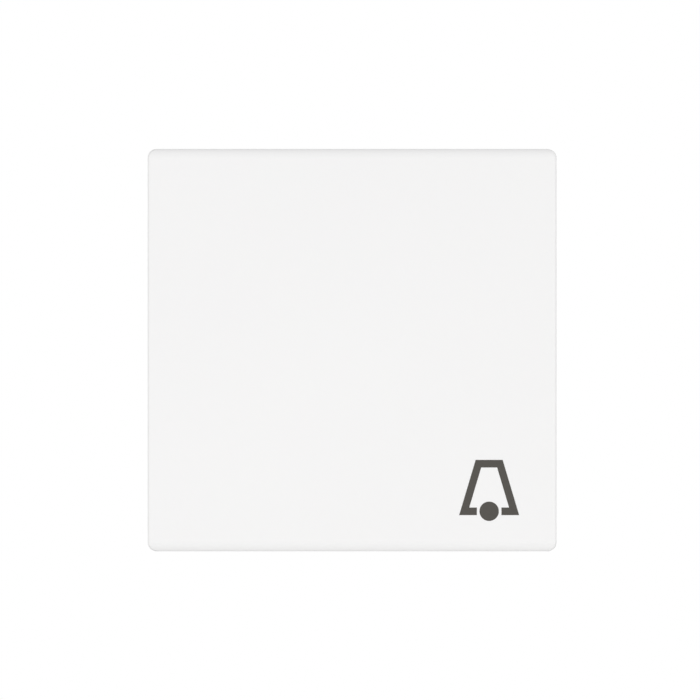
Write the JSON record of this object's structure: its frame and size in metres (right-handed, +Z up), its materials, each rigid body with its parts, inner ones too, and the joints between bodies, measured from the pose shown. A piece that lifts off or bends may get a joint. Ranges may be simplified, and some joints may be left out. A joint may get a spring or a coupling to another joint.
{
  "type": "doorbell push button",
  "caption": "Flush-mounted doorbell push: a square white rocker plate with a bell sign, over a steel support ring, a contact socket and spreading claws.",
  "frame": {"origin": "middle of the support ring's back, in the plane of the wall", "axes": "-Y is the front, out of the wall; +X to the right and +Z up as seen from the front"},
  "size_m": [0.0706, 0.0364, 0.0694],
  "materials": {
    "rocker_plastic": "smooth moulded, slight gloss",
    "sign_ink": "satin print",
    "carrier_plastic": "moulded, satin",
    "cover_plastic": "moulded, matt",
    "socket_plastic": "moulded thermoset, matt",
    "pin_plastic": "moulded, satin",
    "button_plastic": "moulded, satin",
    "zinc_steel": "stamped, bright zinc plate",
    "screw_steel": "turned, pale zinc plate",
    "spring_steel": "drawn wire and strip, bright",
    "strip_brass": "rolled strip",
    "contact_silver": "polished silver alloy"
  },
  "bodies": {
    "insert": {"return_spring": "spring_steel", "socket_cover": "cover_plastic", "cover_screws": "screw_steel", "fixed_contact": "contact_silver", "contact_spring": "spring_steel", "common_strip": "strip_brass", "output_strip": "strip_brass", "socket": "socket_plastic", "support_ring": "zinc_steel", "ring_rivets": "zinc_steel", "terminal_block_upper": "socket_plastic", "clamp_spring_upper_right": "spring_steel", "clamp_spring_upper_left": "spring_steel", "terminal_block_lower": "socket_plastic", "clamp_spring_lower_right": "spring_steel", "clamp_spring_lower_left": "spring_steel", "claw_pin_right": "screw_steel", "claw_pin_left": "screw_steel"},
    "rocker": {"rocker_plate": "rocker_plastic", "bell_sign": "sign_ink", "tumbler": "carrier_plastic"},
    "push_pin": {"push_pin": "pin_plastic"},
    "contact_lever": {"contact_lever": "strip_brass", "moving_contact": "contact_silver"},
    "release_upper": {"release_button_upper": "button_plastic"},
    "release_lower": {"release_button_lower": "button_plastic"},
    "claw_right": {"claw_right": "zinc_steel"},
    "claw_left": {"claw_left": "zinc_steel"},
    "claw_screw_right": {"claw_screw_right": "screw_steel"},
    "claw_screw_left": {"claw_screw_left": "screw_steel"},
    "claw_nut_right": {"claw_nut_right": "zinc_steel"},
    "claw_nut_left": {"claw_nut_left": "zinc_steel"}
  },
  "joints": [
    {"name": "rocker_tilt", "type": "hinge", "parent": "insert", "child": "rocker", "pos_m": [0, -0.0052, 0], "axis": [1, 0, 0], "range_deg": [0, 4], "stiffness_Nm_per_rad": 0.5, "springref_deg": -2.86, "deforming": ["return_spring"]},
    {"name": "pin_slide", "type": "slide", "parent": "insert", "child": "push_pin", "axis": [0, 1, 0], "range_m": [0, 0.00067]},
    {"name": "lever_rock", "type": "hinge", "parent": "insert", "child": "contact_lever", "pos_m": [0, 0.0019, 0.009], "axis": [1, 0, 0], "range_deg": [0, 2.06], "deforming": ["contact_spring"]},
    {"name": "release_upper_slide", "type": "slide", "parent": "insert", "child": "release_upper", "axis": [0, -1, 0], "range_m": [0, 0.0012], "stiffness_N_per_m": 300, "springref_m": -0.002, "deforming": ["clamp_spring_upper_right", "clamp_spring_upper_left"]},
    {"name": "release_lower_slide", "type": "slide", "parent": "insert", "child": "release_lower", "axis": [0, -1, 0], "range_m": [0, 0.0012], "stiffness_N_per_m": 300, "springref_m": -0.002, "deforming": ["clamp_spring_lower_right", "clamp_spring_lower_left"]},
    {"name": "claw_screw_right_turn", "type": "hinge", "parent": "insert", "child": "claw_screw_right", "pos_m": [0.0251, 0, 0], "axis": [0, 1, 0], "range_deg": [0, 660]},
    {"name": "claw_right_swing", "type": "hinge", "parent": "insert", "child": "claw_right", "pos_m": [0.0219, 0.002, 0], "axis": [0, 0, -1], "range_deg": [0, 20]},
    {"name": "claw_nut_right_travel", "type": "slide", "parent": "insert", "child": "claw_nut_right", "axis": [0, -1, 0], "range_m": [0, 0.000916]},
    {"name": "claw_screw_left_turn", "type": "hinge", "parent": "insert", "child": "claw_screw_left", "pos_m": [-0.0251, 0, 0], "axis": [0, 1, 0], "range_deg": [0, 660]},
    {"name": "claw_left_swing", "type": "hinge", "parent": "insert", "child": "claw_left", "pos_m": [-0.0219, 0.002, 0], "axis": [0, 0, 1], "range_deg": [0, 20]},
    {"name": "claw_nut_left_travel", "type": "slide", "parent": "insert", "child": "claw_nut_left", "axis": [0, -1, 0], "range_m": [0, 0.000916]}
  ],
  "couplings": [
    {"joint": "pin_slide", "follows": "rocker_tilt", "m_per_rad": 0.0095},
    {"joint": "lever_rock", "follows": "rocker_tilt", "ratio": 0.51351},
    {"joint": "claw_screw_right_turn", "follows": "claw_nut_right_travel", "rad_per_m": 12566},
    {"joint": "claw_right_swing", "follows": "claw_nut_right_travel", "rad_per_m": 380.7},
    {"joint": "claw_screw_left_turn", "follows": "claw_nut_left_travel", "rad_per_m": 12566},
    {"joint": "claw_left_swing", "follows": "claw_nut_left_travel", "rad_per_m": 380.7}
  ]
}
